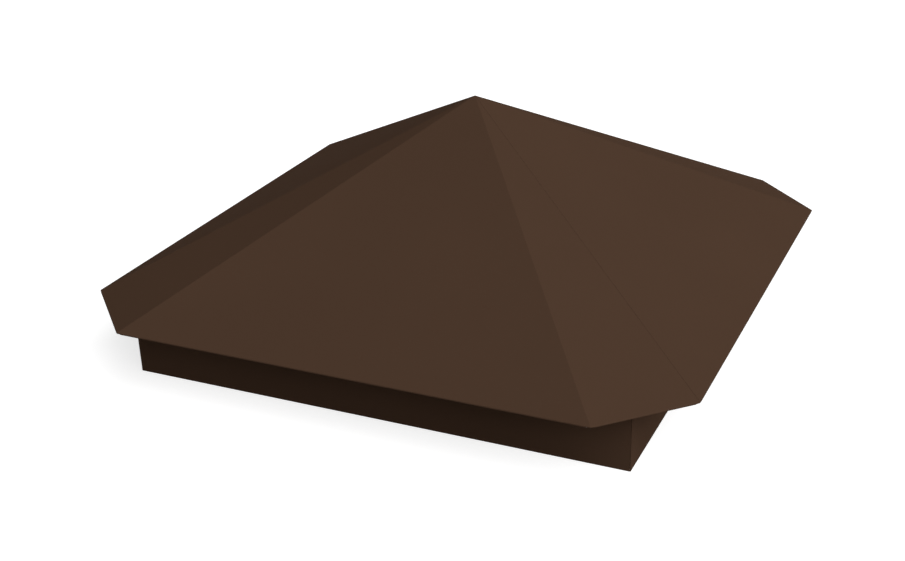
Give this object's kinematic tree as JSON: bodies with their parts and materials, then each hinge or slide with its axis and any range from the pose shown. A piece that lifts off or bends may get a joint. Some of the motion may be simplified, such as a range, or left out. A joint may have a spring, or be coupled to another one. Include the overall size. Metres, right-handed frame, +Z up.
{
  "type": "fence post cap",
  "caption": "Low pyramid cap of folded coated steel sheet for a square masonry fence post, with cut corners, wide eaves and a plain skirt that drops over the post.",
  "frame": {"origin": "centre of the square opening, on the plane of the skirt's rim", "axes": "+Z up through the apex, -Y the front, +X the right side; the sides of the skirt are parallel to X and Y"},
  "size_m": [0.472, 0.472, 0.1821],
  "materials": {
    "brown_coat": "matte chocolate brown coating on steel sheet, fine grain",
    "rivet_alloy": "plain dull",
    "rivet_steel": "zinc plated",
    "sealant": "grey, smooth and slightly shiny"
  },
  "bodies": {
    "root": {"roof_panel_front": "brown_coat", "roof_panel_right": "brown_coat", "roof_panel_back": "brown_coat", "roof_panel_left": "brown_coat", "skirt_wall_front": "brown_coat", "skirt_wall_right": "brown_coat", "skirt_wall_back": "brown_coat", "skirt_wall_left": "brown_coat", "hip_rivet_sleeves": "rivet_alloy", "hip_rivet_pins": "rivet_steel", "skirt_rivet_sleeves": "rivet_alloy", "skirt_rivet_pins": "rivet_steel", "hip_sealant": "sealant", "apex_sealant": "sealant"}
  },
  "joints": []
}
